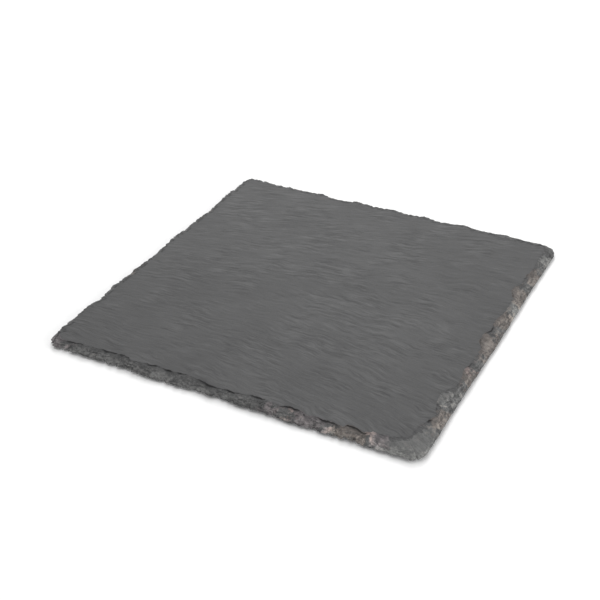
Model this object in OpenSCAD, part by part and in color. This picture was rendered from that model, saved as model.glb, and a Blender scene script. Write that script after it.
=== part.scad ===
// Square riven slate slab with hand-dressed edges, standing on four stick-on
// feet. Millimetres, +Z up. The origin lies on the surface that the feet stand
// on, under the middle of the slab. -Y is the front and +X the right.

/* [Slab] */
// Side of the square, across the widest part of the stone
slab_side = 300; // [200:5:400]
// Thickness of the stone
slab_thickness = 5; // [4:0.5:10]

/* [Dressed edge] */
// How far the dressed edge runs in between the flakes: front, right, back, left
bevel_widths = [7, 7, 4, 2]; // [1:0.5:12]
// Height of the broken rim at the foot of the dressed edge
rim_height = 1.6; // [1:0.1:2.5]
// Height of the step where the flakes broke off below the face
lip_height = 0.7; // [0.3:0.1:0.8]
// How far the sides wander in from a straight line
side_wander = 0.6; // [0:0.1:1.5]

/* [Corners] */
// Front left corner: radius at the bottom and at the face
front_left_radii = [11, 12]; // [6:1:30]
// Front right corner, where one large flake has come off
front_right_radii = [12, 34]; // [6:1:40]
// Back right corner
back_right_radii = [16, 15]; // [6:1:30]
// Back left corner
back_left_radii = [9, 9]; // [6:1:30]

/* [Feet] */
// Diameter of each pad
foot_diameter = 14; // [8:1:24]
// Thickness of each pad
foot_height = 1.8; // [1:0.1:4]
// Bevel around the bottom of each pad
foot_bevel = 0.4; // [0.1:0.1:0.8]
// Distance from the sides of the slab to the middle of each foot
foot_inset = 24; // [20:1:60]
// Thickness of the adhesive film under the stone
adhesive_thickness = 0.2; // [0.1:0.1:0.5]
// How much smaller than the pad the film is, all round
adhesive_margin = 0.3; // [0.1:0.1:1]

/* [Hidden] */

// Flakes broken off along each side: [middle, half width, extra bite in mm].
// The first two are shares of half a side, counted from the middle of the
// side towards +X or +Y.
front_flakes = [
    [-0.62, 0.12, 2.0], [-0.40, 0.14, 2.0], [-0.22, 0.14, 3.0], [0.21, 0.13, 3.7],
    [0.38, 0.09, 3.5], [0.56, 0.11, 2.0], [0.70, 0.06, 4.0], [0.82, 0.08, 2.5]
];
right_flakes = [
    [-0.84, 0.11, 3.0], [-0.62, 0.12, 6.5], [-0.36, 0.08, 1.5], [-0.05, 0.10, 5.2],
    [0.10, 0.12, 2.0], [0.45, 0.09, 5.2], [0.60, 0.10, 2.0], [0.85, 0.10, 1.0]
];
back_flakes = [
    [-0.78, 0.08, 1.7], [-0.58, 0.12, 2.4], [-0.35, 0.12, 3.6], [-0.11, 0.12, 2.0],
    [0.11, 0.11, 2.3], [0.35, 0.14, 3.0], [0.60, 0.13, 3.0], [0.86, 0.13, 4.0]
];
left_flakes = [
    [-0.83, 0.13, 1.2], [-0.60, 0.11, 1.8], [-0.35, 0.11, 1.8], [-0.09, 0.23, 2.0],
    [0.29, 0.09, 1.5], [0.51, 0.18, 2.2], [0.88, 0.12, 1.2]
];
// Sides in the order of the walk round the slab: front, right, back, left
side_flakes = [front_flakes, right_flakes, back_flakes, left_flakes];

half_side = slab_side / 2;
slab_bottom = foot_height + adhesive_thickness;
foot_place = half_side - foot_inset;
steps_per_side = 96;
rim_points = 4 * steps_per_side;
// Waves that each side makes as it wanders, starting and ending at a corner
side_waves = [3, 2, 4, 3];
// Stone beyond both faces, which the cleaving takes away
cleave_margin = 1;

// Levels of the dressed edge: [height above the stone's bottom, share of the
// way from the outline at the bottom to the outline of the face]
edge_levels = [
    [-cleave_margin, 0],
    [0, 0],
    [rim_height, 0.04],
    [rim_height + 0.4 * (slab_thickness - lip_height - rim_height), 0.45],
    [slab_thickness - lip_height, 0.93],
    [slab_thickness, 1],
    [slab_thickness + cleave_margin, 1]
];

// Point on the unit square for step i of the walk round it
function square_point(i) =
    let (side = floor(i / steps_per_side))
    let (t = 2 * (i % steps_per_side) / steps_per_side - 1)
    side == 0 ? [t, -1] : side == 1 ? [1, t] : side == 2 ? [-t, 1] : [-1, -t];

// Corner radii at a point of the unit square, by its quarter
function corner_radii(q) =
    q.y < 0
        ? (q.x < 0 ? front_left_radii : front_right_radii)
        : (q.x < 0 ? back_left_radii : back_right_radii);

// Deepest bite of a side's flakes at t, each a parabola across its width
function flake_bite(flakes, t) =
    max([0, for (f = flakes) f[2] * (1 - pow((t - f[0]) / f[1], 2))]);

// Distance in from the straight side at the bottom of the stone
function bottom_inset(side, t) =
    side_wander * (1 - cos(180 * side_waves[side] * (t + 1))) / 2;

// Distance in from the straight side at the face
function face_inset(side, t) = bevel_widths[side] + flake_bite(side_flakes[side], t);

// Distances in from the sides along X and Y at point q, where `own` is the
// distance for the side that q lies on and the other is its neighbour's
function insets(q, side, own, share) =
    side % 2 == 0
        ? [share * bevel_widths[q.x < 0 ? 3 : 1], own]
        : [own, share * bevel_widths[q.y < 0 ? 0 : 2]];

// The unit square's point q on a rectangle of half sides h, corners rounded to r
function rounded_point(q, h, r) =
    let (v = [max(abs(q.x) * h.x - (h.x - r), 0), max(abs(q.y) * h.y - (h.y - r), 0)])
    let (shrink = v.x > 0 && v.y > 0 ? max(v) / norm(v) : 1)
    [
        sign(q.x) * (min(abs(q.x) * h.x, h.x - r) + v.x * shrink),
        sign(q.y) * (min(abs(q.y) * h.y, h.y - r) + v.y * shrink)
    ];

// Point i of the ring at one level of the dressed edge
function edge_point(i, level) =
    let (q = square_point(i))
    let (side = floor(i / steps_per_side))
    let (t = side % 2 == 0 ? q.x : q.y)
    let (share = level[1])
    let (own = (1 - share) * bottom_inset(side, t) + share * face_inset(side, t))
    let (half_sides = [half_side, half_side] - insets(q, side, own, share))
    let (radii = corner_radii(q))
    let (p = rounded_point(q, half_sides, (1 - share) * radii[0] + share * radii[1]))
    [p.x, p.y, slab_bottom + level[0]];

// Closed stone: rings round the dressed edge, with a fan of faces to the
// middle of each end
module stone_blank() {
    top = len(edge_levels) - 1;
    rings = [for (level = edge_levels) for (i = [0 : rim_points - 1]) edge_point(i, level)];
    bottom_middle = len(rings);
    top_middle = bottom_middle + 1;
    walls = [
        for (k = [0 : top - 1])
            for (i = [0 : rim_points - 1])
                let (j = (i + 1) % rim_points)
                let (a = k * rim_points + i)
                let (b = k * rim_points + j)
                each [[a, a + rim_points, b + rim_points], [a, b + rim_points, b]]
    ];
    ends = [
        for (i = [0 : rim_points - 1])
            let (j = (i + 1) % rim_points)
            each [[i, j, bottom_middle], [top_middle, top * rim_points + j, top * rim_points + i]]
    ];
    middles = [
        [0, 0, slab_bottom - cleave_margin],
        [0, 0, slab_bottom + slab_thickness + cleave_margin]
    ];
    polyhedron(points = concat(rings, middles), faces = concat(walls, ends));
}

// The stone, cleft flat on both faces
module slab() {
    color([0.39, 0.39, 0.40])
    intersection() {
        stone_blank();
        translate([-slab_side, -slab_side, slab_bottom])
        cube([2 * slab_side, 2 * slab_side, slab_thickness]);
    }
}

// Soft pad with a bevelled bottom edge, at one corner
module foot(side_x, side_y) {
    r = foot_diameter / 2;
    color([0.10, 0.10, 0.11])
    translate([side_x * foot_place, side_y * foot_place, 0])
    rotate_extrude($fn = 64)
    polygon([[0, 0], [r - foot_bevel, 0], [r, foot_bevel], [r, foot_height], [0, foot_height]]);
}

module foot_front_left() { foot(-1, -1); }
module foot_front_right() { foot(1, -1); }
module foot_back_left() { foot(-1, 1); }
module foot_back_right() { foot(1, 1); }

// Film of adhesive between a pad and the stone, at one corner
module adhesive(side_x, side_y) {
    color([0.75, 0.74, 0.68])
    translate([side_x * foot_place, side_y * foot_place, foot_height])
    cylinder(h = adhesive_thickness, d = foot_diameter - 2 * adhesive_margin, $fn = 64);
}

module adhesive_front_left() { adhesive(-1, -1); }
module adhesive_front_right() { adhesive(1, -1); }
module adhesive_back_left() { adhesive(-1, 1); }
module adhesive_back_right() { adhesive(1, 1); }

slab();
foot_front_left();
foot_front_right();
foot_back_left();
foot_back_right();
adhesive_front_left();
adhesive_front_right();
adhesive_back_left();
adhesive_back_right();
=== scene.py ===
# %% [markdown]
# # A riven slate slab with hand-dressed edges
# Slate is clay that was pressed into sheets, so it splits along one plane and breaks roughly across
# it. The slab is split to a thickness, its four sides are knocked off with an iron, and four soft
# pads are stuck under its corners. The CAD model holds the sizes and the flat faces. This lesson
# gives the stone its split face, its broken edge and its finish, and lights it.

import bpy
import numpy as np
from mathutils import Matrix, Vector


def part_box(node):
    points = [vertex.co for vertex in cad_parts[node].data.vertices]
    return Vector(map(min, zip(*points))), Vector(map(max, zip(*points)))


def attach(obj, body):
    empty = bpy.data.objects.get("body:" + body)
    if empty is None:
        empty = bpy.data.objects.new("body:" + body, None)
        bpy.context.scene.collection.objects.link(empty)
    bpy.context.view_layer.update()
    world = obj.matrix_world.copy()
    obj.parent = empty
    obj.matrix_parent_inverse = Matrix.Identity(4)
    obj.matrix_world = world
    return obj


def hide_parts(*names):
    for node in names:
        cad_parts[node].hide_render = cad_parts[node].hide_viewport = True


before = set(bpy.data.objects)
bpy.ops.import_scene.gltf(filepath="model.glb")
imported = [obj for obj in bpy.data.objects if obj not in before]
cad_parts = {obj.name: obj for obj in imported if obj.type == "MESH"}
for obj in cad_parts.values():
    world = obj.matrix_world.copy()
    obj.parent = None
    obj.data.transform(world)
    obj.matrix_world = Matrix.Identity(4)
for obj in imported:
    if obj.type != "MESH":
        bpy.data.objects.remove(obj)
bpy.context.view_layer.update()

MM = 0.001

# %% [markdown]
# ## Sizes
# Every size is read from the CAD model or follows from it, so the stone that is made here lies
# exactly where the CAD stone lies. Only the finer sizes, which the CAD model leaves out, are new.

# %% Sizes of the stone
stone_low, stone_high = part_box("slab")
HALF_SIDE = (stone_high.x - stone_low.x) / 2
STONE_BOTTOM = stone_low.z
STONE_THICKNESS = stone_high.z - stone_low.z
# These three, and the main flakes and corners below, repeat the CAD model's own numbers
RIM_HEIGHT = 1.6 * MM
LIP_HEIGHT = 0.7 * MM
SIDE_WANDER = 0.6 * MM
print("stone", round(2 * HALF_SIDE / MM, 1), "mm square,", round(STONE_THICKNESS / MM, 2), "mm thick")

# %% [markdown]
# ## Noise that is the same every time
# Broken stone needs irregular numbers, but the same ones on every run. Each point of a square
# lattice gets a number from a fixed mixing of its two whole-number coordinates, and the numbers are
# blended smoothly in between. Adding finer and weaker layers gives the roughness of a real break.

# %% Lattice noise
def eased(share):
    """A share from 0 to 1 with level ends: f * f * (3 - 2 f)."""
    return share * share * (3 - 2 * share)


def lattice_number(column, row, seed):
    """A number from -1 to 1 for each lattice point, from multiplying and folding its coordinates."""
    mixed = column.astype(np.int64) * 374761393 + row.astype(np.int64) * 668265263 + seed * 69069
    mixed = mixed & 0xFFFFFFFF
    mixed = ((mixed ^ (mixed >> 13)) * 1274126177) & 0xFFFFFFFF
    return (mixed ^ (mixed >> 16)) / 2.0**31 - 1


def smooth_noise(x, y, seed):
    """Lattice numbers at the four corners round (x, y), blended with eased weights."""
    x, y = np.broadcast_arrays(x, y)
    column = np.floor(x)
    row = np.floor(y)
    fx = eased(x - column)
    fy = eased(y - row)
    near = lattice_number(column, row, seed) * (1 - fx) + lattice_number(column + 1, row, seed) * fx
    far = lattice_number(column, row + 1, seed) * (1 - fx)
    far = far + lattice_number(column + 1, row + 1, seed) * fx
    return near * (1 - fy) + far * fy


def layered_noise(x, y, seed, layers=3):
    """The sum of smooth noise at 1, 2, 4 ... times the frequency and 1, 1/2, 1/4 ... times the height,
    over the sum of those heights."""
    total = 0.0
    weight = 0.0
    for layer in range(layers):
        total = total + smooth_noise(x * 2**layer, y * 2**layer, seed + layer) / 2**layer
        weight += 1 / 2**layer
    return total / weight


print("noise at a sample point:", round(float(layered_noise(np.array([1.3]), np.array([2.6]), 5)[0]), 4))

# %% [markdown]
# ## The outline of a dressed side
# The dresser knocks the stone off from behind, and each blow takes a shell-shaped flake out of the
# face. The bottom edge stays nearly straight, while the edge of the face is a row of bites. One walk
# round a unit square carries both outlines, so every ring of the stone has matching points. Noise is
# read at the walk's own points, so it runs on round a corner without a jump.

# %% Main flakes, as the CAD model has them
# [middle, half width, extra bite in mm]; the first two are shares of half a side, from its middle
# towards +X or +Y. Sides in the order of the walk: front, right, back, left.
SIDE_FLAKES = [
    [[-0.62, 0.12, 2.0], [-0.40, 0.14, 2.0], [-0.22, 0.14, 3.0], [0.21, 0.13, 3.7],
     [0.38, 0.09, 3.5], [0.56, 0.11, 2.0], [0.70, 0.06, 4.0], [0.82, 0.08, 2.5]],
    [[-0.84, 0.11, 3.0], [-0.62, 0.12, 6.5], [-0.36, 0.08, 1.5], [-0.05, 0.10, 5.2],
     [0.10, 0.12, 2.0], [0.45, 0.09, 5.2], [0.60, 0.10, 2.0], [0.85, 0.10, 1.0]],
    [[-0.78, 0.08, 1.7], [-0.58, 0.12, 2.4], [-0.35, 0.12, 3.6], [-0.11, 0.12, 2.0],
     [0.11, 0.11, 2.3], [0.35, 0.14, 3.0], [0.60, 0.13, 3.0], [0.86, 0.13, 4.0]],
    [[-0.83, 0.13, 1.2], [-0.60, 0.11, 1.8], [-0.35, 0.11, 1.8], [-0.09, 0.23, 2.0],
     [0.29, 0.09, 1.5], [0.51, 0.18, 2.2], [0.88, 0.12, 1.2]],
]
# How far the dressed edge of each side runs in between its flakes
BEVEL_WIDTHS = np.array([7, 7, 4, 2]) * MM
# Where it is narrower than this, the edge of the face has notches and its rim is bruised
NARROW_BEVEL = 5 * MM
# Waves that each side makes as it wanders
SIDE_WAVES = np.array([3, 2, 4, 3])
# Gashes, where a thin leaf of the face stands out over the break: [middle, half width, strength]
SIDE_GASHES = [
    [[-0.85, 0.05, 0.8], [-0.66, 0.05, 1.0], [-0.56, 0.05, 0.9], [-0.41, 0.04, 0.8], [-0.31, 0.04, 0.9],
     [-0.24, 0.03, 0.7], [-0.08, 0.07, 1.0], [0.05, 0.05, 0.8], [0.19, 0.05, 0.7], [0.37, 0.06, 0.9],
     [0.57, 0.07, 0.9], [0.72, 0.08, 1.0]],
    [[-0.79, 0.03, 0.7], [-0.70, 0.03, 0.5], [-0.30, 0.03, 0.5], [-0.10, 0.05, 0.9], [0.04, 0.05, 1.0],
     [0.41, 0.04, 0.9], [0.62, 0.04, 0.4]],
    [[-0.70, 0.06, 0.8], [-0.35, 0.09, 1.0], [0.12, 0.06, 0.8], [0.36, 0.09, 0.9], [0.62, 0.08, 0.7]],
    [[-0.60, 0.07, 0.7], [-0.10, 0.12, 0.9], [0.30, 0.06, 0.7], [0.52, 0.10, 0.9]],
]
# Each corner: the signs of its x and y, and its radius in mm at the bottom and at the face
CORNERS = [(-1, -1, 11, 12), (1, -1, 12, 34), (1, 1, 16, 15), (-1, 1, 9, 9)]
# How rough the bottom of each side is, as a share of the roughest, and the scale of the bites there
SIDE_ROUGHNESS = np.array([1.0, 0.15, 0.5, 0.35])
BOTTOM_BITE = 0.9 * MM


def square_walk(steps):
    """Points round the unit square, steps on each side, anticlockwise from the front left corner."""
    t = 2 * np.arange(steps) / steps - 1
    one = np.ones(steps)
    sides = [(t, -one), (one, t), (-t, one), (-one, -t)]
    return np.concatenate([np.stack(side, axis=-1) for side in sides])


def side_and_place(q):
    """Side number and place along it for points q of the unit square: the larger coordinate names
    the side, and the smaller one, over the larger, is the place from -1 to 1."""
    x, y = q[..., 0], q[..., 1]
    across = np.abs(x) > np.abs(y)
    side = np.where(across, np.where(x > 0, 1, 3), np.where(y > 0, 2, 0))
    larger = np.maximum(np.maximum(np.abs(x), np.abs(y)), 1e-9)
    return side, np.where(across, y, x) / larger


def walk_noise(q, frequency, seed, layers=3):
    """Layered noise at the walk's points q, frequency waves to half a side."""
    return layered_noise(q[..., 0] * frequency, q[..., 1] * frequency, seed, layers)


def is_narrow(q):
    """Whether the side that each point lies on has a narrow dressed edge."""
    side, _ = side_and_place(q)
    return BEVEL_WIDTHS[side] < NARROW_BEVEL


def parabolas(q, side_rows, weighted=True):
    """At each point the largest of its side's parabolas 1 - ((t - middle) / half width)^2, each times
    its row's last number if `weighted`, and 0 where there is none."""
    side, t = side_and_place(q)
    largest = np.zeros(t.shape)
    for number, rows in enumerate(side_rows):
        for middle, half_width, weight in rows:
            curve = np.where(side == number, 1 - ((t - middle) / half_width) ** 2, 0)
            largest = np.maximum(largest, weight * curve if weighted else curve)
    return largest


def half_sides(q, inset, share):
    """Half the stone's size along X and Y as a point sees it. Its own side lies `inset` in. The side
    round the nearest corner lies as far in, but counted from its own bevel's edge, times `share`."""
    side, _ = side_and_place(q)
    extra = inset - BEVEL_WIDTHS[side] * share
    beside_x = extra + np.where(q[..., 0] < 0, BEVEL_WIDTHS[3], BEVEL_WIDTHS[1]) * share
    beside_y = extra + np.where(q[..., 1] < 0, BEVEL_WIDTHS[0], BEVEL_WIDTHS[2]) * share
    inset_x = np.where(side % 2 == 0, beside_x, inset)
    inset_y = np.where(side % 2 == 0, inset, beside_y)
    return HALF_SIDE - np.stack([inset_x, inset_y], axis=-1)


def gash(q):
    """How much of a gash there is: a parabola across each one's width, broken up by noise."""
    return np.clip(parabolas(q, SIDE_GASHES) * (1 + 0.8 * walk_noise(q, 26, 55)), 0, 1)


def rounded(q, inset, share):
    """Points q of the unit square's edge, moved `inset` in from the sides of the stone and rounded at
    the corners: where both coordinates pass the start of the corner, the rest v of the point
    becomes v max(v) / |v|."""
    q, inset, share = np.broadcast_arrays(q, inset[..., None], np.asarray(share)[..., None])
    inset, share = inset[..., 0], share[..., 0]
    radius = np.zeros(inset.shape)
    for sign_x, sign_y, at_bottom, at_face in CORNERS:
        here = (q[..., 0] * sign_x >= 0) & (q[..., 1] * sign_y >= 0)
        radius = np.where(here, ((1 - share) * at_bottom + share * at_face) * MM, radius)
    half = half_sides(q, inset, share)
    reach = np.abs(q) * half
    start = half - radius[..., None]
    rest = np.maximum(reach - start, 0)
    length = np.maximum(np.linalg.norm(rest, axis=-1), 1e-12)
    shrink = np.where(rest.min(axis=-1) > 0, rest.max(axis=-1) / length, 1.0)
    return np.sign(q) * (np.minimum(reach, start) + rest * shrink[..., None])


def bottom_inset(q):
    """How far in from a straight side the bottom edge lies: slow waves that are 0 at the corners, and
    small bites max(0.5 + 3.2 n, 0) of a 3 mm noise n, times the side's roughness."""
    side, t = side_and_place(q)
    slow = SIDE_WANDER * (1 - np.cos(np.pi * SIDE_WAVES[side] * (t + 1))) / 2
    jagged = SIDE_ROUGHNESS[side] * np.maximum(0.5 + 3.2 * walk_noise(q, 46, 11), 0)
    return slow + BOTTOM_BITE * jagged


def face_inset(q):
    """How far in the face begins: the bevel and the main bites, and then either raggedness at 12 mm
    and 3 mm, or, where the bevel is narrow, a notch e^(-|n| / width) wherever a noise n crosses 0."""
    side, _ = side_and_place(q)
    ragged = 1.3 * walk_noise(q, 12, 21) + 0.9 * walk_noise(q, 46, 31)
    notch = np.exp(-np.abs(walk_noise(q, 13, 25, 1)) / 0.09)
    small_notch = np.exp(-np.abs(walk_noise(q, 29, 27, 1)) / 0.12)
    notched = 1.9 * notch + 1.5 * small_notch + 0.9 * walk_noise(q, 60, 31)
    uneven = parabolas(q, SIDE_FLAKES) + np.where(is_narrow(q), notched, ragged)
    return BEVEL_WIDTHS[side] + uneven * MM


RIM_STEPS = 400
walk = square_walk(RIM_STEPS)
walk_inset = face_inset(walk)
print("face begins", np.round([walk_inset.min() / MM, walk_inset.max() / MM], 1), "mm in from the side")

# %% [markdown]
# ## The split face
# A riven face is not flat. It rises and falls by a few tenths of a millimetre over the width of a
# hand, carries long low streaks along the grain, and steps down where a thin leaf of stone stayed
# with the other half. The streaks are noise that is stretched along lines which lean up to the left.

# %% Relief of a split face
def grain_across(x, y):
    """Distance across the grain: y (1 - 1.5 x) - 0.08 x + 0.6 x^2, so that the grain runs along X at
    the right and front and turns up by 10 degrees towards the back left."""
    return y * (1 - 1.5 * x) - 0.08 * x + 0.6 * x * x


def riven_relief(x, y, seed):
    """Depth below the highest plane, in metres: a slow swell, streaks along the grain, and leaves,
    which are levels of a stretched noise rounded down, with a short ramp between them."""
    across = grain_across(x, y) + 0.002 * layered_noise(x / 0.05, y / 0.05, seed + 30, 2)
    swell = layered_noise(x / 0.11, across / 0.06, seed, 2)
    streaks = layered_noise(x / 0.024, across / 0.005, seed + 10, 3)
    leaves = 2.6 * layered_noise(x / 0.05 + 3, across / 0.022, seed + 20, 4)
    level = np.floor(leaves)
    steps = (level + np.clip((leaves - level) / 0.08, 0, 1)) / 5
    return np.maximum(0.08 * (1 + swell) + 0.05 * (1 + streaks) + 0.06 * (1 + steps), 0) * MM


sample = np.linspace(-0.14, 0.14, 200)
sample_relief = riven_relief(*np.meshgrid(sample, sample), 100)
print("relief from", round(sample_relief.min() / MM, 2), "to", round(sample_relief.max() / MM, 2), "mm")

# %% [markdown]
# ## The broken edge
# Below the face the edge has a small step where each flake snapped off, then the flake's hollow
# scar, then a rim that broke straight down. Slate breaks in thin leaves, so the scars are terraced.
# Small flakes along the rim are laid out on evenly spaced places with irregular shifts, and each one
# lowers the stone by a shell shape. A few lines of arithmetic describe hundreds of them.

# %% Heights on the broken edge
# The one large flake of the front right corner: its middle, how far it reaches and over what
# distance it ends, in half sides
CORNER_FLAKE = (0.98, -0.94)
CORNER_REACH = 0.21
CORNER_END = 0.08
# The leaves that the scars are terraced in, and the lowest that a scar can lie
LEAF = 0.45 * MM
LOWEST_SCAR = 0.35 * MM


def walk_share(q):
    """How far round the whole walk each point is, from 0 to 1."""
    side, t = side_and_place(q)
    return (side + np.where(side >= 2, 1 - t, 1 + t) / 2) / 4


def small_flakes(q, inward, count, reach, depth, seed):
    """How much a row of `count` small flakes lowers the stone. Each reaches inward by
    reach sqrt(1 - p^2) at the share p of its half width, and its floor is a parabola."""
    place = walk_share(q) * count
    cell = np.floor(place)
    lowered = np.zeros(np.broadcast(place, inward).shape)
    for shift in (-1, 0, 1):
        number = np.mod(cell + shift, count)
        moved, wider, further, deeper = [lattice_number(number, 0 * number, seed + k) for k in range(4)]
        middle = cell + shift + 0.5 + 0.4 * moved
        opening = np.sqrt(np.clip(1 - ((place - middle) / (0.8 + 0.4 * wider)) ** 2, 0, 1))
        own_reach = reach * (1 + 0.6 * further) * opening
        floor = np.clip(1 - (inward / np.maximum(own_reach, 1e-6)) ** 2, 0, 1)
        brink = np.clip(floor / 0.2, 0, 1)
        own_depth = depth * (1 + 0.8 * deeper) * opening
        lowered = np.maximum(lowered, own_depth * (0.3 * brink + 0.7 * floor))
    return lowered


def terraced(height, leaf, ramp):
    """Height rounded down to whole leaves, with a smooth ramp over the last part of each."""
    level = np.floor(height / leaf)
    rise = np.clip((height / leaf - level - 1 + ramp) / ramp, 0, 1)
    return (level + eased(rise)) * leaf


def rim_top(q):
    """Height of the broken rim above the bottom, which varies along the side."""
    return RIM_HEIGHT + 0.5 * MM * walk_noise(q, 9, 41)


def lip_height(q):
    """Height of the step below the face: most where a leaf stands out, and elsewhere hardly any."""
    return LIP_HEIGHT * (0.1 + 1.3 * gash(q))


def smooth_corner(q):
    """1 on the one large flake of the front right corner, 0 away from it."""
    distance = np.hypot(q[..., 0] - CORNER_FLAKE[0], q[..., 1] - CORNER_FLAKE[1])
    return np.clip((CORNER_REACH - distance) / CORNER_END, 0, 1)


def scar_height(q, flat, share, inward):
    """Height on the scars, `share` of the way in from the rim to the foot of the step: a shoulder
    1 - (1 - share)^power that turns level at the face, less a hollow in each flake, less the small
    flakes, then terraced in leaves, and roughest near the rim."""
    foot = STONE_THICKNESS - lip_height(q)
    hollow = parabolas(q, SIDE_FLAKES, weighted=False)
    shoulder = 1 - (1 - share) ** (1.5 + 0.4 * walk_noise(q, 7, 61))
    height = rim_top(q) + (foot - rim_top(q)) * shoulder
    height = height - 0.35 * MM * hollow * np.sin(np.pi * share)
    calm = 1 - 0.8 * smooth_corner(q)
    outer = 1 - share**1.5
    chips = small_flakes(q, inward, 110, 5.5 * MM, 1.2 * MM, 71)
    chips = np.maximum(chips, small_flakes(q, inward, 240, 2.8 * MM, 0.9 * MM, 81))
    x, y = flat[..., 0], flat[..., 1]
    rough = layered_noise(x / (2.2 * MM), y / (2.2 * MM), 91) * (0.08 + 0.27 * outer) * MM
    height = height - calm * chips + calm * rough
    drift = 0.15 * MM * layered_noise(x / (9 * MM), y / (9 * MM), 95)
    stepped = terraced(height + drift, LEAF, 0.4)
    height = height + (stepped - height) * 0.7 * calm
    return np.clip(height, LOWEST_SCAR, foot)


step = lip_height(walk) / MM
print("step below the face from", round(step.min(), 2), "to", round(step.max(), 2), "mm")

# %% [markdown]
# ## One closed skin
# The stone is a single closed surface. Rings of 1600 points run round the edge: up the rim, over the
# scars, up the step and a little way onto the face. The two faces are square grids that are bent to
# meet the rings, and their cells are coarser, so a row of fan triangles joins each to its ring. The
# bottom face is flat where the feet are stuck to it.

# %% Rings round the edge
def raised(flat, height):
    """Points (x, y, height) from flat places (x, y)."""
    return np.concatenate([flat, np.broadcast_to(height, flat.shape[:2])[..., None]], axis=-1)


RISES = np.array([0, 0.12, 0.3, 0.5, 0.7, 0.88, 1.0])
SHARES = np.array([0.06, 0.13, 0.21, 0.30, 0.39, 0.48, 0.57, 0.66, 0.75, 0.83, 0.90, 0.96])
# The rings of the step, from its foot onto the face: shares of the crevice under it, distance onto
# the face in mm, and shares of the step's height and of the edge's wear that each lies below
STEP_CREVICE = np.array([1.0, 0.7, 0.0, 0.0, 0.0])
STEP_ONTO_FACE = np.array([0.0, 0.0, 0.0, 0.5, 1.6])
STEP_LIP = np.array([1.0, 0.5, 0.08, 0.0, 0.0])
STEP_WORN = np.array([0.0, 0.0, 1.0, 0.35, 0.0])
EDGE_WEAR = 0.10 * MM
# How far on average the rim is undercut and its leaves stand back, and the most that a spall, a
# flake off its underside, lifts its foot. Then how far a crevice runs in under the face.
UNDERCUT = 0.25 * MM
RIM_LEAVES = 0.35 * MM
SPALL = 1.4 * MM
CREVICE_DEPTH = 0.9 * MM
FACE_SEED = 100
BASE_SEED = 300
FACE_MARGIN = 2.8 * MM
BASE_MARGIN = 2.5 * MM
feet = [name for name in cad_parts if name.startswith("foot_")]
foot_boxes = [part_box(name) for name in feet]
foot_middles = [((low.x + high.x) / 2, (low.y + high.y) / 2) for low, high in foot_boxes]
FOOT_RADIUS = (foot_boxes[0][1].x - foot_boxes[0][0].x) / 2


def base_relief(x, y):
    """Relief of the bottom face, measured up into the stone, and 0 round the feet."""
    nearest = np.min([np.hypot(x - cx, y - cy) for cx, cy in foot_middles], axis=0)
    clear = np.clip((nearest - FOOT_RADIUS) / (6 * MM), 0, 1)
    return riven_relief(x, y, BASE_SEED) * eased(clear)


def edge_rings(q):
    """Rings from the bottom edge inward: (rings, points, 3). They climb the rim, which stands back in
    leaves and is spalled from below, then cross the scars, climb the step and end on the face."""
    low = bottom_inset(q)
    high = face_inset(q)
    flat = rounded(q, low, 0.0)
    top = scar_height(q, flat, 0.0, np.zeros(len(q)))
    up = RISES[:, None]
    undercut = UNDERCUT * (1 + walk_noise(q, 16, 105)) * (1 - up) ** 1.6
    leaves = [walk_noise(q, 90 + 4 * rise, 101) for rise in RISES]
    broken = RIM_LEAVES * (1 + np.array(leaves)) * np.sqrt(np.sin(np.pi * (0.1 + 0.8 * up)))
    wall_inset = low + undercut + broken
    side, _ = side_and_place(q)
    spall = SPALL * SIDE_ROUGHNESS[side] * np.clip(4 * walk_noise(q, 30, 109), 0, 1)
    wall_height = spall + up * (top - spall)
    share = SHARES[:, None]
    scar_inset = low + broken[-1] * (1 - share) + (high - low) * share
    scar_flat = rounded(q[None], scar_inset, share)
    scar = scar_height(q[None], scar_flat, share, scar_inset - low)
    crevice = CREVICE_DEPTH * gash(q)
    step_inset = high + np.outer(STEP_CREVICE, crevice) + STEP_ONTO_FACE[:, None] * MM
    below = np.outer(STEP_LIP, lip_height(q)) + STEP_WORN[:, None] * EDGE_WEAR
    inset = np.concatenate([wall_inset, scar_inset, step_inset])
    height = np.concatenate([wall_height, scar, STONE_THICKNESS - below])
    share = np.concatenate([0 * up, share, np.ones((len(below), 1))])
    flat = rounded(q[None], inset, share)
    height = height - share * riven_relief(flat[..., 0], flat[..., 1], FACE_SEED)
    height[0] = spall + base_relief(flat[0, :, 0], flat[0, :, 1])
    return raised(flat, STONE_BOTTOM + height)


edge = edge_rings(walk)
ring_count, ring_size = edge.shape[:2]
print("edge", ring_count, "rings of", ring_size, "points")

# %% Faces as bent grids
FACE_STEPS = 200
BASE_STEPS = 100


def shell_grid(steps):
    """A grid of (steps + 1)^2 points q over the unit square, the square shell m = max(|x|, |y|) that
    each lies on, and the point q / m of the square's edge in its direction."""
    line = np.linspace(-1, 1, steps + 1)
    q = np.stack(np.meshgrid(line, line, indexing="ij"), axis=-1)
    shell = np.abs(q).max(axis=-1)
    return q, shell, q / np.maximum(shell, 1e-9)[..., None]


def face_grid(steps, outer_inset, share):
    """A square grid bent to an outline: a point on the square shell m is m times the outline's point
    in its direction, and the outline's waves fade as m^6."""
    _, shell, outward = shell_grid(steps)
    side, _ = side_and_place(outward)
    bevel = BEVEL_WIDTHS[side] * share
    flat = rounded(outward, bevel + (outer_inset(outward) - bevel) * shell**6, share)
    return flat * shell[..., None]


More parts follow.
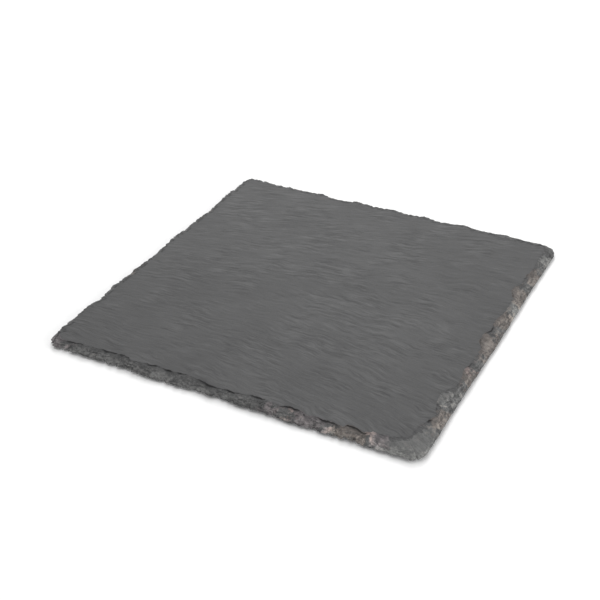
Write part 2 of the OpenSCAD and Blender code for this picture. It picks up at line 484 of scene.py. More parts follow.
flat = face_grid(FACE_STEPS, lambda q: face_inset(q) + FACE_MARGIN, 1.0)
depth = riven_relief(flat[..., 0], flat[..., 1], FACE_SEED)
face = raised(flat, STONE_BOTTOM + STONE_THICKNESS - depth)
flat = face_grid(BASE_STEPS, lambda q: bottom_inset(q) + BASE_MARGIN, 0.0)
base = raised(flat, STONE_BOTTOM + base_relief(flat[..., 0], flat[..., 1]))
print("face grid", face.shape[:2], "bottom grid", base.shape[:2])

# %% Join the rings and the grids
def ring_quads(rings, points):
    """Quads between each ring and the next, the last point joined to the first."""
    ring = np.arange(rings - 1)[:, None] * points
    here = np.arange(points)[None]
    after = (here + 1) % points
    quads = [ring + here, ring + after, ring + points + after, ring + points + here]
    return np.stack(quads, axis=-1).reshape(-1, 4)


def grid_quads(steps):
    """Quads of a square grid whose first index runs along x, facing up."""
    i, j = np.meshgrid(np.arange(steps), np.arange(steps), indexing="ij")
    corner = i * (steps + 1) + j
    quads = [corner, corner + steps + 1, corner + steps + 2, corner + 1]
    return np.stack(quads, axis=-1).reshape(-1, 4)


def grid_border(steps):
    """Numbers of a grid's border points, in the order of the walk."""
    up = np.arange(steps)
    front = up * (steps + 1)
    right = steps * (steps + 1) + up
    back = (steps - up) * (steps + 1) + steps
    return np.concatenate([front, right, back, steps - up])


def fan_triangles(fine, coarse):
    """Triangles from a fine ring to a coarse one, where each coarse point faces every k-th fine
    point: the first half of a stretch fans from its first coarse point, the rest from its second."""
    k = len(fine) // len(coarse)
    after = np.roll(coarse, -1)
    fine_after = np.roll(fine, -1)
    start = np.arange(len(coarse)) * k
    triangles = []
    for step in range(k):
        apex = coarse if step < k / 2 else after
        triangles.append(np.stack([fine[start + step], fine_after[start + step], apex], axis=-1))
    first_half = (k + 1) // 2
    triangles.append(np.stack([coarse, fine[start + first_half], after], axis=-1))
    return np.concatenate(triangles)


vertices = np.concatenate([edge.reshape(-1, 3), face.reshape(-1, 3), base.reshape(-1, 3)])
face_start = ring_count * ring_size
base_start = face_start + (FACE_STEPS + 1) ** 2
edge_quads = ring_quads(ring_count, ring_size)
face_quads = grid_quads(FACE_STEPS) + face_start
base_quads = grid_quads(BASE_STEPS)[:, ::-1] + base_start
outer_ring = np.arange(ring_size)
inner_ring = outer_ring + (ring_count - 1) * ring_size
face_fan = fan_triangles(inner_ring, grid_border(FACE_STEPS) + face_start)
base_fan = fan_triangles(outer_ring, grid_border(BASE_STEPS) + base_start)[:, ::-1]
print(len(vertices), "points,", 2 * (len(edge_quads) + len(face_quads) + len(base_quads)), "triangles")


# %% [markdown]
# ## Where the stone is stained, and where shade is painted
# Slate holds a little iron, so some patches of the broken edge have weathered to beige or to a dull
# plum, and fresh breaks are paler than the face. Each patch is a soft round blot, stored as a number
# on every point of the mesh, so it stays in place when the stone is moved. "broken" says how far a
# point is from the split face: 0 on the face and 1 on the rim. "crevice" is painted shade: it darkens
# the crevices under leaves that stand out, lines along the ends of the leaves, and the bruised rim of a
# narrow side.

# %% Blots on the points
# [x, y, radius, strength]: x and y as shares of half a side, radius in mm
RUST_BLOTS = [[0.66, -0.98, 11, 1.6], [0.35, -0.97, 7, 0.5], [0.99, 0.62, 12, 1.1], [0.97, 0.40, 12, 1.1],
              [0.96, 0.15, 12, 1.1], [0.97, -0.09, 15, 1.2], [0.98, -0.36, 11, 1.1], [0.98, -0.70, 11, 0.9],
              [-0.97, 0.45, 9, 0.8], [-0.96, -0.28, 12, 0.7], [-0.30, 0.97, 11, 0.8], [0.48, 0.97, 9, 0.6]]
PLUM_BLOTS = [[0.45, -0.97, 13, 1.2], [0.26, -0.98, 9, 0.7], [0.78, -0.95, 7, 1.0], [-0.94, -0.97, 11, 0.8],
              [0.96, -0.30, 7, 0.5], [-0.97, 0.72, 9, 0.8], [-0.62, 0.97, 9, 0.7]]
PALE_BLOTS = [[0.93, -0.93, 21, 2.0], [0.90, -0.99, 9, 2.0], [0.56, -0.99, 6, 0.7], [-0.99, -0.90, 5, 0.9],
              [0.98, 0.80, 8, 1.0], [0.97, 0.27, 8, 1.2], [0.92, -0.56, 11, 0.6], [0.97, -0.50, 6, 0.3],
              [0.88, 0.97, 8, 0.6], [-0.97, 0.10, 10, 0.6], [0.10, 0.97, 9, 0.5]]


def blots(points, places):
    """The strongest of the blots at each point, each strength exp(-(distance / radius)^2)."""
    strength = np.zeros(len(points))
    for x, y, radius, strongest in places:
        distance = np.hypot(points[:, 0] - x * HALF_SIDE, points[:, 1] - y * HALF_SIDE)
        strength = np.maximum(strength, strongest * np.exp(-((distance / (radius * MM)) ** 2)))
    return strength


def last_rings(values):
    """These values for the last rings of the edge, and 0 for the rings before them."""
    return np.concatenate([np.zeros(ring_count - len(values)), values])


def broken_number(q):
    """The "broken" number on the rings: it falls from 1 on the rim to 0 on the face, is lower over
    the corner's smooth flake, and is raised again where a narrow side's rim is bruised."""
    calm_share = np.clip((1 - BROKEN[:, None]) / np.where(on_front, 0.5, 0.1), 0, 1) * smooth_corner(q)
    return np.maximum(BROKEN[:, None] * (1 - 0.75 * calm_share), np.outer(RIM_BRUISE, narrow_side))


def painted_ring_shade(q):
    """Painted shade on the rings: in the crevices under the gashes, on bruised rims, and in thin lines
    where a stretched noise crosses 0, which are the ends of the leaves."""
    rim_shade = np.clip(0.45 + 1.2 * walk_noise(q, 15, 57), 0, 0.8) * narrow_side
    across, along = np.meshgrid(np.arange(ring_count) / 2.2, np.arange(ring_size) / 14, indexing="ij")
    line = np.clip(1 - np.abs(layered_noise(along, across, 131)) / 0.10, 0, 1) * (BROKEN[:, None] > 0.3)
    patches = np.clip(0.2 + 2.5 * walk_noise(q, 8, 137), 0, 1) * (1 - smooth_corner(q))
    leaf_ends = line * patches * np.where(on_front, 1.0, 0.5)
    return np.maximum(np.outer(CREVICE_SHADE, gash(q)) + np.outer(RIM_SHADE, rim_shade), leaf_ends)


def painted_rim_shade(steps):
    """Painted shade on the face where the bevel is narrow: noise cut into specks, fading as e^(-d / 1.7)
    at d mm in from the rim."""
    q, shell, outward = shell_grid(steps)
    nearness = np.exp(-(1 - shell) * HALF_SIDE / (1.7 * MM))
    specks = layered_noise(q[..., 0] * 55, q[..., 1] * 55, 141)
    return is_narrow(outward) * nearness * np.clip(0.4 + 4 * specks, 0, 1)


# A number for each ring: how broken it is, and how much a bruise or painted shade counts on it
BROKEN = np.concatenate([np.ones(len(RISES)), 1 - 0.8 * SHARES**1.3, [0.2, 0.2, 0.1, 0.05, 0.0]])
RIM_BRUISE = last_rings([0.8, 0.8, 0.8, 0.75, 0.3])
CREVICE_SHADE = last_rings([0.3, 0.8, 1.0, 1.0, 0.0, 0.0, 0.0])
RIM_SHADE = last_rings([0.6, 0.8, 1.0, 1.0, 1.0, 1.0, 0.5])
on_front = walk[:, 1] == -1
narrow_side = is_narrow(walk)
broken = np.zeros(len(vertices))
broken[:face_start] = broken_number(walk).ravel()
# The "crevice" number is painted shade: in crevices, at leaf ends, on narrow rims and on the face beside
# them
crevice = np.zeros(len(vertices))
crevice[:face_start] = painted_ring_shade(walk).ravel()
crevice[face_start:base_start] = painted_rim_shade(FACE_STEPS).ravel()
# The corner's pale blot fades towards the face, and a little at the foot of the rim
pale = blots(vertices, PALE_BLOTS)
fresh = np.clip((BROKEN - 0.2) / 0.5, 0, 1) - 0.4 * (BROKEN > 0.99)
pale[:face_start] *= (1 - np.outer(1 - fresh, smooth_corner(walk))).ravel()
tints = {"rust": blots(vertices, RUST_BLOTS), "plum": blots(vertices, PLUM_BLOTS),
         "pale": pale, "broken": broken, "crevice": crevice}
print("points touched:", {name: int((values > 0.3).sum()) for name, values in tints.items()})


# %% [markdown]
# ## Small tools for materials
# A material is a tree of nodes. These helpers add a node, set it up and wire it in one line, so that
# each finish below reads as a recipe: a list of steps with its own numbers.

# %% Node helpers
class Tree:
    """One node tree, with short ways to add nodes. Numbers and sockets can be mixed freely."""

    def __init__(self, data):
        self.data = data

    def feed(self, socket, value):
        if isinstance(value, bpy.types.NodeSocket):
            self.data.links.new(value, socket)
        else:
            socket.default_value = value

    def feed_named(self, sockets, **values):
        for name, value in values.items():
            self.feed(sockets[name.replace("_", " ")], value)

    def feed_numbered(self, sockets, values):
        for number, value in values.items():
            self.feed(sockets[number], value)

    def node(self, kind, settings=None, **inputs):
        made = self.data.nodes.new(kind)
        for name, value in (settings or {}).items():
            setattr(made, name, value)
        self.feed_named(made.inputs, **inputs)
        return made

    def group(self, data, **inputs):
        return self.node("ShaderNodeGroup", {"node_tree": data}, **inputs).outputs

    def painted(self, name):
        return self.node("ShaderNodeAttribute", {"attribute_name": name}).outputs["Fac"]

    def math(self, operation, first, second=0.0, clamp=False):
        made = self.node("ShaderNodeMath", {"operation": operation, "use_clamp": clamp})
        self.feed_numbered(made.inputs, {0: first, 1: second})
        return made.outputs[0]

    def times(self, first, second, clamp=False):
        return self.math("MULTIPLY", first, second, clamp)

    def total(self, *terms):
        """The sum of value * weight over the terms."""
        parts = [value if weight == 1 else self.times(value, weight) for value, weight in terms]
        result = parts[0]
        for part in parts[1:]:
            result = self.math("ADD", result, part)
        return result

    def ramp(self, value, low, high, to_low=0.0, to_high=1.0):
        made = self.node("ShaderNodeMapRange", {"interpolation_type": "SMOOTHSTEP"}, Value=value,
                         From_Min=low, From_Max=high, To_Min=to_low, To_Max=to_high)
        return made.outputs[0]

    def blend(self, amount, first, second, kind="MIX"):
        made = self.node("ShaderNodeMix", {"data_type": "RGBA", "blend_type": kind})
        self.feed_numbered(made.inputs, {0: amount, 6: first, 7: second})
        return made.outputs[2]

    def noise(self, vector, scale, detail=3.0, roughness=0.55):
        made = self.node("ShaderNodeTexNoise", Vector=vector, Scale=scale, Detail=detail,
                         Roughness=roughness)
        return made.outputs["Fac"]

    def stretched(self, vector, size):
        made = self.node("ShaderNodeVectorMath", {"operation": "MULTIPLY"})
        self.feed_numbered(made.inputs, {0: vector, 1: size})
        return made.outputs[0]


def node_group(name, inputs, outputs):
    """A new shader node group with these named number or vector inputs and number outputs. Returns
    its tree, and its input and output sockets by name."""
    data = bpy.data.node_groups.new(name, "ShaderNodeTree")
    for socket, start in inputs.items():
        kind = "NodeSocketVector" if start is None else "NodeSocketFloat"
        made = data.interface.new_socket(socket, in_out="INPUT", socket_type=kind)
        if start is not None:
            made.default_value = start
    for socket in outputs:
        data.interface.new_socket(socket, in_out="OUTPUT", socket_type="NodeSocketFloat")
    tree = Tree(data)
    return tree, tree.node("NodeGroupInput").outputs, tree.node("NodeGroupOutput").inputs


def new_material(name):
    """A new Principled material, its tree, its shader and the object's own coordinates."""
    material = bpy.data.materials.new(name)
    material.use_nodes = True
    tree = Tree(material.node_tree)
    shader = material.node_tree.nodes["Principled BSDF"]
    return material, tree, shader, tree.node("ShaderNodeTexCoord").outputs["Object"]


def finish_shader(tree, shader, colour, roughness, height, strength, distance):
    """Feeds the shader its colour, its roughness, and a bump made from the height."""
    bump = tree.node("ShaderNodeBump", Strength=strength, Distance=distance, Height=height)
    tree.feed_named(shader.inputs, Base_Color=colour, Roughness=roughness,
                    Normal=bump.outputs["Normal"])


print("node helpers ready")

# %% [markdown]
# ## The grain of riven slate
# Seen close, a split face is fine streaks with a few longer bands and many tiny steps where a leaf
# ended. The group bends the coordinates as the relief does, stretches them along the grain, and
# reads noise at several widths. A noise that is rounded down gives the steps. The face uses it, and
# so does the broken edge where it runs over into the face.

# %% Group: riven grain
def make_riven_grain():
    """Tone and height of the grain, and slow clouds. The grain is noise on (along, across), where
    across is y (1 - 1.5 x) - 0.08 x + 0.6 x^2 and a small meander."""
    tree, given, result = node_group("riven_grain", {"Vector": None, "Length": 0.020, "Width": 0.0028},
                                     ["Tone", "Height", "Cloud"])
    parts = tree.node("ShaderNodeSeparateXYZ", Vector=given["Vector"]).outputs
    fan = tree.math("SUBTRACT", 1.0, tree.times(parts["X"], 1.5))
    lean = tree.math("SUBTRACT", tree.times(parts["X"], 0.6), 0.08)
    cloud = tree.noise(given["Vector"], 16.0, 3.0, 0.5)
    meander = tree.noise(given["Vector"], 26.0, 3.0, 0.55)
    across = tree.total((parts["Y"], fan), (parts["X"], lean), (meander, 0.016))
    along = tree.math("DIVIDE", parts["X"], given["Length"])
    lane = tree.math("DIVIDE", across, given["Width"])
    place = tree.node("ShaderNodeCombineXYZ", X=along, Y=lane).outputs[0]
    bands = tree.noise(place, 0.3, 3.0, 0.5)
    leaves = tree.times(tree.noise(place, 0.32, 5.0, 0.55), 11.0)
    level = tree.math("FLOOR", leaves)
    leaves = tree.math("ADD", level, tree.ramp(tree.math("SUBTRACT", leaves, level), 0.0, 0.16))
    streaks = tree.noise(place, 1.0, 4.0, 0.6)
    scratches = tree.noise(tree.stretched(place, (1.5, 3.0, 1.0)), 1.0, 2.0, 0.5)
    tone = tree.total((streaks, 0.50), (bands, 0.15), (scratches, 0.35))
    lively = tree.ramp(tree.noise(given["Vector"], 38.0, 2.0, 0.5), 0.38, 0.62, 0.35, 1.6)
    tone = tree.math("ADD", tree.times(tree.math("SUBTRACT", tone, 0.5), lively), 0.5)
    fine = tree.total((streaks, 0.3), (scratches, 0.15))
    height = tree.total((fine, lively), (leaves, 0.75))
    tree.feed_named(result, Tone=tone, Height=height, Cloud=cloud)
    return tree.data


riven_grain = make_riven_grain()
print("group", riven_grain.name, "has", len(riven_grain.nodes), "nodes")

# %% [markdown]
# ## Grit and dust
# Slate and the feet both have a surface of tiny grains: mica and quartz in the stone, the marks of
# the mould in the rubber. One group gives light grains, dark grains and a rough height, at a size
# that each material chooses. Stone dust settles on everything near a broken edge, thickest in soft
# patches, so that is a second shared group.

# %% Group: grit
def make_grit():
    """Light and dark grain masks and a height, from a cell pattern and noise at the grain size."""
    tree, given, result = node_group("grit", {"Vector": None, "Grain": 0.0006, "Share": 0.3},
                                     ["Light", "Dark", "Height"])
    fineness = tree.math("DIVIDE", 1.0, given["Grain"])
    cells = tree.node("ShaderNodeTexVoronoi", {"feature": "F1"}, Vector=given["Vector"], Scale=fineness)
    pick = tree.node("ShaderNodeSeparateColor", Color=cells.outputs["Color"]).outputs
    body = tree.math("SUBTRACT", 1.0, tree.ramp(cells.outputs["Distance"], 0.25, 0.6))
    top = tree.math("SUBTRACT", 1.0, given["Share"])
    light = tree.times(body, tree.math("GREATER_THAN", pick["Red"], top))
    dark = tree.times(body, tree.math("GREATER_THAN", pick["Green"], top))
    rough = tree.noise(given["Vector"], tree.times(fineness, 0.7), 3.0, 0.6)
    tree.feed_named(result, Light=light, Dark=dark, Height=rough)
    return tree.data


grit = make_grit()
print("group", grit.name, "has", len(grit.nodes), "nodes")

# %% Group: stone dust
def make_stone_dust():
    """How much dust lies at a point: soft patches of noise, broken up by a finer noise."""
    tree, given, result = node_group("stone_dust", {"Vector": None, "Patch": 0.006, "Amount": 0.5},
                                     ["Dust"])
    scale = tree.math("DIVIDE", 1.0, given["Patch"])
    patches = tree.ramp(tree.noise(given["Vector"], scale, 3.0, 0.6), 0.42, 0.68)
    specks = tree.noise(given["Vector"], tree.times(scale, 9.0), 2.0, 0.6)
    dust = tree.times(patches, tree.ramp(specks, 0.35, 0.65))
    tree.feed_named(result, Dust=tree.times(dust, given["Amount"], clamp=True))
    return tree.data


stone_dust = make_stone_dust()
print("group", stone_dust.name, "has", len(stone_dust.nodes), "nodes")


# %% [markdown]
# ## The split face
# The face is a matt neutral grey. Its tone varies by only a few percent, in streaks and slow clouds,
# so the colours stay close together and most of the life comes from a shallow bump. The roughness
# follows the grain, because rubbed streaks are a little smoother.

# %% Material: riven face
FACE_DARK = (0.050, 0.050, 0.051, 1)
FACE_LIGHT = (0.084, 0.084, 0.085, 1)
MICA = (0.16, 0.16, 0.157, 1)
# Near-black, used for dark grains and for painted shade
DARK_GRAIN_AND_SHADE = (0.022, 0.022, 0.023, 1)
STONE_GLOSS = 0.35


def face_colour(tree, tone):
    """The face's grey at a tone from 0 to 1."""
    return tree.blend(tree.ramp(tone, 0.32, 0.68), FACE_DARK, FACE_LIGHT)


def with_painted_shade(tree, colour):
    """The colour, darkened towards near-black by painted shade where the "crevice" number is high."""
    # Painted shade: a high "crevice" number darkens the colour towards near-black
    painted_shade = tree.ramp(tree.painted("crevice"), 0.1, 0.8)
    return tree.blend(tree.times(painted_shade, 0.8), colour, DARK_GRAIN_AND_SHADE)


def make_riven_face():
    """Grey between two tones by grain and cloud, with sparse mica and a fine bump."""
    material, tree, shader, place = new_material("slate_riven_face")
    grain = tree.group(riven_grain, Vector=place)
    grains = tree.group(grit, Vector=place, Grain=0.0007, Share=0.12)
    tone = tree.total((grain["Tone"], 0.75), (grain["Cloud"], 0.25))
    colour = face_colour(tree, tone)
    colour = tree.blend(tree.times(grains["Light"], 0.16), colour, MICA)
    colour = tree.blend(tree.times(grains["Dark"], 0.22), colour, DARK_GRAIN_AND_SHADE)
    shader.inputs["Specular IOR Level"].default_value = STONE_GLOSS
    height = tree.total((grain["Height"], 1), (grains["Height"], 0.35))
    finish_shader(tree, shader, with_painted_shade(tree, colour),
                  tree.ramp(grain["Tone"], 0.3, 0.7, 0.72, 0.60), height, 0.7, 0.16 * MM)
    return material


riven_face = make_riven_face()
print("material", riven_face.name)

# %% [markdown]
# ## The broken edge
# A break across the leaves is mottled: pale crushed stone on the high points, dark hollows, and fine
# lines where the leaves end. The lines are noise that is squeezed in height, because the leaves lie
# flat. Near the split face the colour runs over into the grain of the face, along a ragged border.
# The painted blots then warm the grey to beige or plum, or lift it towards a fresh pale break.

# %% Material: broken edge
EDGE_DARK = (0.046, 0.046, 0.047, 1)
EDGE_LIGHT = (0.148, 0.148, 0.146, 1)
CRUSHED = (0.30, 0.30, 0.29, 1)
# Tints multiply the grey below them, so its texture stays
RUST = (1.50, 1.33, 1.22, 1)
PLUM = (1.55, 1.40, 1.44, 1)
PALE = (1.80, 1.81, 1.76, 1)


def make_broken_edge():
    """Mottled grey with leaf lines and crushed grains, run into the face's grain by the broken
    number, and tinted by the blots on the points."""
    material, tree, shader, place = new_material("slate_broken_edge")
    grain = tree.group(riven_grain, Vector=place)
    mottle = tree.noise(place, 420.0, 5.0, 0.65)
    patches = tree.noise(tree.stretched(place, (1.0, 1.0, 2.5)), 170.0, 3.0, 0.6)
    lines = tree.noise(tree.stretched(place, (70.0, 70.0, 1200.0)), 1.0, 3.0, 0.6)
    grains = tree.group(grit, Vector=place, Grain=0.0011, Share=0.30)
    dust = tree.group(stone_dust, Vector=place, Patch=0.004, Amount=0.5)
    tone = tree.total((mottle, 0.30), (lines, 0.40), (patches, 0.30))
    colour = tree.blend(tree.ramp(tone, 0.40, 0.60), EDGE_DARK, EDGE_LIGHT)
    far_out = tree.painted("broken")
    ragged = tree.noise(place, 260.0, 4.0, 0.65)
    border = tree.ramp(tree.total((far_out, 1), (ragged, 0.9)), 0.75, 1.15)
    colour = tree.blend(border, face_colour(tree, grain["Tone"]), colour)
    uneven = tree.ramp(tree.noise(place, 210.0, 4.0, 0.6), 0.35, 0.65, -0.35, 0.35)
    for name, tint, most in [("rust", RUST, 1.0), ("plum", PLUM, 0.9), ("pale", PALE, 0.95)]:
        mask = tree.ramp(tree.math("ADD", tree.painted(name), uneven), 0.25, 0.75)
        colour = tree.blend(tree.times(mask, most), colour, tint, "MULTIPLY")
    colour = tree.blend(tree.times(grains["Dark"], 0.28), colour, DARK_GRAIN_AND_SHADE)
    crushed = tree.times(tree.math("ADD", grains["Light"], dust["Dust"]), far_out)
    colour = tree.blend(tree.times(crushed, 0.36, clamp=True), colour, CRUSHED)
    shader.inputs["Specular IOR Level"].default_value = STONE_GLOSS
    height = tree.total((mottle, 1), (lines, 1.2), (grains["Height"], 0.4))
    finish_shader(tree, shader, with_painted_shade(tree, colour), tree.ramp(mottle, 0.3, 0.7, 0.85, 0.62),
                  height, 0.9, 0.4 * MM)
    return material


broken_edge = make_broken_edge()
print("material", broken_edge.name)

# %% Build the stone
def new_object(name, data):
    """An object with this mesh, lamp or camera, at the origin of the scene."""
    made = bpy.data.objects.new(name, data)
    bpy.context.scene.collection.objects.link(made)
    return made


def new_piece(name, points, faces, materials, face_material):
    """A mesh object at the origin, smooth shaded, with one material number for each face."""
    mesh = bpy.data.meshes.new(name)
    mesh.from_pydata(points.tolist(), [], faces)
    for material in materials:
        mesh.materials.append(material)
    mesh.polygons.foreach_set("material_index", face_material)
    mesh.polygons.foreach_set("use_smooth", np.ones(len(faces), bool))
    mesh.update()
    return new_object(name, mesh)


# The last row of quads lies on the face, and is broken stone only where the rim is bruised
edge_material = np.ones((ring_count - 1, ring_size), int)
edge_material[-1, ~narrow_side] = 0
rest = len(face_quads) + len(base_quads) + len(face_fan) + len(base_fan)
stone_faces = [part.tolist() for part in (edge_quads, face_quads, base_quads, face_fan, base_fan)]
stone = new_piece("slate_stone", vertices, sum(stone_faces, []), [riven_face, broken_edge],
                  np.concatenate([edge_material.ravel(), np.zeros(rest, int)]))
for name, values in tints.items():
    stone.data.attributes.new(name, "FLOAT", "POINT").data.foreach_set("value", values)
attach(stone, "root")
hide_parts("slab")
print(stone.name, "has", len(stone.data.polygons), "faces")

# %% [markdown]
# ## Feet
# Stick-on pads are moulded from soft rubber. A moulded pad has no sharp corners: its side swells a
# little, its two rims are rounded by the mould, and a shallow ring is left in the sole. A turned
# shape like this is one profile carried round an axis, so a list of radii and heights describes it.

# %% Turned shapes
AROUND = 96


def turned(profile, middle, wobble=0.0, seed=0):
    """A closed shape from a profile of (radius, height) carried round the point `middle`: a point is
    (radius cos a, radius sin a, height). The radius varies by `wobble` times a noise of the angle."""
    angle = 2 * np.pi * np.arange(AROUND) / AROUND
    around = np.stack([np.cos(angle), np.sin(angle)], axis=-1)
    shrink = 1 - wobble * (1 + layered_noise(3 * around[:, 0], 3 * around[:, 1], seed, 3)) / 2
    radius = profile[:, 0, None] * shrink
    rings = raised(around * radius[..., None] + np.array(middle), profile[:, 1:])
    rings = rings.reshape(-1, 3)
    ends = [[*middle, profile[0, 1]], [*middle, profile[-1, 1]]]
    here = np.arange(AROUND)
    after = (here + 1) % AROUND
    last = (len(profile) - 1) * AROUND
    low_end = np.stack([after, here, np.full(AROUND, len(rings))], axis=-1)
    high_end = np.stack([here + last, after + last, np.full(AROUND, len(rings) + 1)], axis=-1)
    faces = ring_quads(len(profile), AROUND).tolist() + low_end.tolist() + high_end.tolist()
    return np.concatenate([rings, np.array(ends)]), faces


def pairs(radii, heights):
    """Profile points from radii and heights, where one of the two may be a single number."""
    return np.stack(np.broadcast_arrays(radii, heights), axis=-1)


def pad_profile(radius, height):
    """Radii and heights from the middle of the sole, over its ring, round both rims, to the top. The
    rims are quarter circles, and the side between them swells by a parabola."""
    sole_radius = np.linspace(0.08, 0.92, 29) * radius
    ring = np.exp(-(((sole_radius - RING_RADIUS) / RING_WIDTH) ** 2)) * RING_DEPTH
    turn = np.linspace(0, np.pi / 2, 7)
    side_radius = radius - SWELL
    top_start = height - TOP_ROUND
    low_rim = pairs(side_radius - RIM_ROUND * (1 - np.sin(turn)), RIM_ROUND * (1 - np.cos(turn)))
    high_rim = pairs(side_radius - TOP_ROUND * (1 - np.cos(turn)), top_start + TOP_ROUND * np.sin(turn))
    up = np.linspace(0, 1, 9)[1:-1]
    side = pairs(radius - SWELL * (2 * up - 1) ** 2, RIM_ROUND + up * (top_start - RIM_ROUND))
    top = pairs(np.linspace(0.9, 0.1, 5) * radius, height)
    return np.concatenate([pairs(sole_radius, ring), low_rim, side, high_rim, top])


RIM_ROUND = 0.45 * MM
TOP_ROUND = 0.15 * MM
SWELL = 0.12 * MM
RING_RADIUS = 4.4 * MM
RING_WIDTH = 0.45 * MM
RING_DEPTH = 0.25 * MM
pad = pad_profile(FOOT_RADIUS, foot_boxes[0][1].z)
print("pad profile of", len(pad), "points, widest", round(2 * pad[:, 0].max() / MM, 2), "mm")

# %% [markdown]
# ## Adhesive film
# Under the stone each pad has a disc of sticky film, cut a little smaller than the pad. It is pressed
# into the stone, so its edge is squeezed out unevenly, and a pale line of it shows between the two.

# %% Film profile
film_boxes = [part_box(name.replace("foot_", "adhesive_")) for name in feet]
film_low, film_high = film_boxes[0][0].z, film_boxes[0][1].z
FILM_RADIUS = (film_boxes[0][1].x - film_boxes[0][0].x) / 2
turn = np.linspace(-np.pi / 2, np.pi / 2, 9)
film_half = (film_high - film_low) / 2
rim = pairs(FILM_RADIUS - film_half * (1 - np.cos(turn)), film_low + film_half * (1 + np.sin(turn)))
flat_radii = np.array([0.3, 0.7]) * FILM_RADIUS
film = np.concatenate([pairs(flat_radii, film_low), rim, pairs(flat_radii[::-1], film_high)])
print("film profile of", len(film), "points,", round((film_high - film_low) / MM, 2), "mm thick")

# %% [markdown]
# ## Rubber and film
# The rubber is black and matt, with the fine grain of its mould and grey stone dust that rubs off
# the slab. The film is a cloudy cream foam that has picked up dust where it is open to the air. Both
# share the grit and the dust with the stone, so all three look as if they had lain in one workshop.

# %% Materials: rubber and film
RUBBER = (0.012, 0.012, 0.013, 1)
RUBBER_WORN = (0.026, 0.026, 0.027, 1)
FILM_CREAM = (0.52, 0.50, 0.42, 1)
FILM_AGED = (0.40, 0.36, 0.27, 1)
DUST = (0.16, 0.16, 0.158, 1)


def make_foot_rubber():
    """Black rubber with mould grain in the bump, worn lighter in patches and dusty."""
    material, tree, shader, place = new_material("foot_rubber")
    grains = tree.group(grit, Vector=place, Grain=0.0004, Share=0.2)
    dust = tree.group(stone_dust, Vector=place, Patch=0.003, Amount=0.35)
    colour = tree.blend(tree.ramp(tree.noise(place, 220.0), 0.35, 0.7), RUBBER, RUBBER_WORN)
    colour = tree.blend(dust["Dust"], colour, DUST)
    roughness = tree.ramp(dust["Dust"], 0.0, 0.35, 0.62, 0.85)
    finish_shader(tree, shader, colour, roughness, grains["Height"], 0.35, 0.08 * MM)
    return material


def make_adhesive_film():
    """Cream foam with pores in the bump, aged and dusty in patches."""
    material, tree, shader, place = new_material("adhesive_film")
    grains = tree.group(grit, Vector=place, Grain=0.00025, Share=0.35)
    dust = tree.group(stone_dust, Vector=place, Patch=0.002, Amount=0.5)
    colour = tree.blend(tree.ramp(tree.noise(place, 300.0), 0.35, 0.7), FILM_CREAM, FILM_AGED)
    colour = tree.blend(tree.times(grains["Dark"], 0.35), colour, FILM_AGED)
    colour = tree.blend(dust["Dust"], colour, DUST)
    roughness = tree.ramp(grains["Height"], 0.3, 0.7, 0.45, 0.6)
    finish_shader(tree, shader, colour, roughness, grains["Height"], 0.3, 0.05 * MM)
    return material


foot_rubber = make_foot_rubber()
adhesive_film = make_adhesive_film()
print("materials", foot_rubber.name, "and", adhesive_film.name)

# %% Build the feet and their films
def replace_with(name, node, shape, material):
    """A new piece from a shape's points and faces that stands in for one CAD node."""
    points, faces = shape
    piece = new_piece(name, points, faces, [material], np.zeros(len(faces), int))
    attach(piece, "root")
    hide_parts(node)


for number, (foot, middle) in enumerate(zip(feet, foot_middles)):
    replace_with("pad_" + foot, foot, turned(pad, middle), foot_rubber)
    glued = foot.replace("foot_", "adhesive_")
    shape = turned(film, middle, wobble=0.03, seed=200 + number)
    replace_with("film_" + glued, glued, shape, adhesive_film)
print("feet and films:", 2 * len(feet))


# %% [markdown]
# ## Floor, light and camera
# A plain near-white floor and broad soft lamps show the stone's relief without hard shadows. The
# main lamp stands behind and above, so the steps of the front edge, which face the camera, fall into
# shade and draw the dark broken line along it.

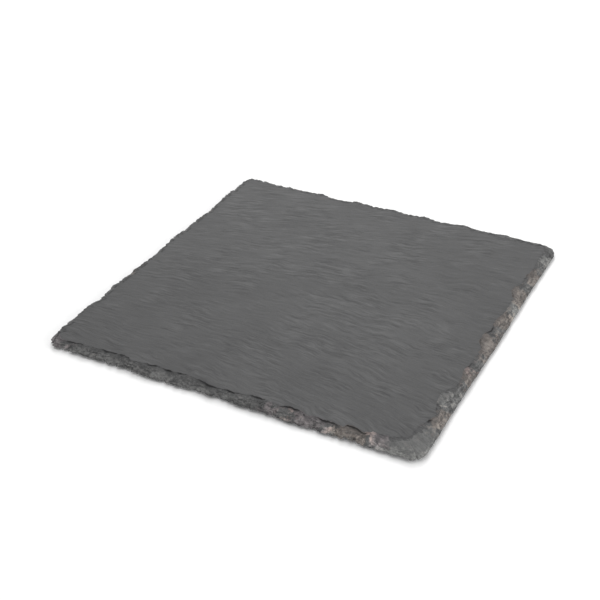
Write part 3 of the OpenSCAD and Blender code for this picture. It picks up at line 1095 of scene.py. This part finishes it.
# %% Floor
def make_floor():
    """A plane on z = 0 with a plain pale material."""
    bpy.ops.mesh.primitive_plane_add(size=8)
    floor = bpy.context.object
    floor.name = "studio_floor"
    material, tree, shader, _ = new_material("studio_floor")
    tree.feed_named(shader.inputs, Base_Color=(0.97, 0.97, 0.97, 1), Roughness=0.95,
                    Specular_IOR_Level=0.0)
    floor.data.materials.append(material)


make_floor()
print("floor ready")

# %% Lamps
def soft_lamp(name, place, size, power):
    """A square area lamp at `place` that points at the middle of the stone."""
    lamp = bpy.data.lights.new(name, "AREA")
    lamp.size = size
    lamp.energy = power
    holder = new_object(name, lamp)
    holder.location = place
    holder.rotation_euler = (-Vector(place)).to_track_quat("-Z", "Y").to_euler()


soft_lamp("lamp_back", (-0.7, 1.5, 1.2), 1.0, 17)
soft_lamp("lamp_right", (1.7, 0.3, 0.6), 1.0, 14)
soft_lamp("lamp_front", (0.4, -1.7, 0.6), 1.0, 4)
soft_lamp("lamp_top", (-0.45, -0.3, 2.0), 1.8, 11)
world = bpy.data.worlds.new("studio")
world.use_nodes = True
background = world.node_tree.nodes["Background"].inputs
background["Color"].default_value = (1, 1, 1, 1)
background["Strength"].default_value = 0.56
bpy.context.scene.world = world
bpy.context.scene.view_settings.view_transform = "Standard"
print("lamps ready")

# %% Camera
def make_camera(place, target, roll, lens):
    """A camera at `place` that looks at `target`, turned by `roll` degrees about its line of sight."""
    back = (place - target).normalized()
    right = Vector((0, 0, 1)).cross(back).normalized()
    facing = Matrix((right, back.cross(right), back)).transposed().to_4x4()
    data = bpy.data.cameras.new("camera")
    data.lens = lens
    data.clip_start = 0.01
    camera = new_object("camera", data)
    camera.matrix_world = Matrix.Translation(place) @ facing @ Matrix.Rotation(np.radians(roll), 4, "Z")
    bpy.context.scene.camera = camera
    return camera


CAMERA_PLACE = Vector((0.3291, -0.6269, 0.4517 + STONE_BOTTOM))
CAMERA_TARGET = Vector((-0.0078, -0.0139, STONE_BOTTOM))
camera = make_camera(CAMERA_PLACE, CAMERA_TARGET, roll=-1.57, lens=64.06)
print("camera at", [round(n, 3) for n in camera.location])
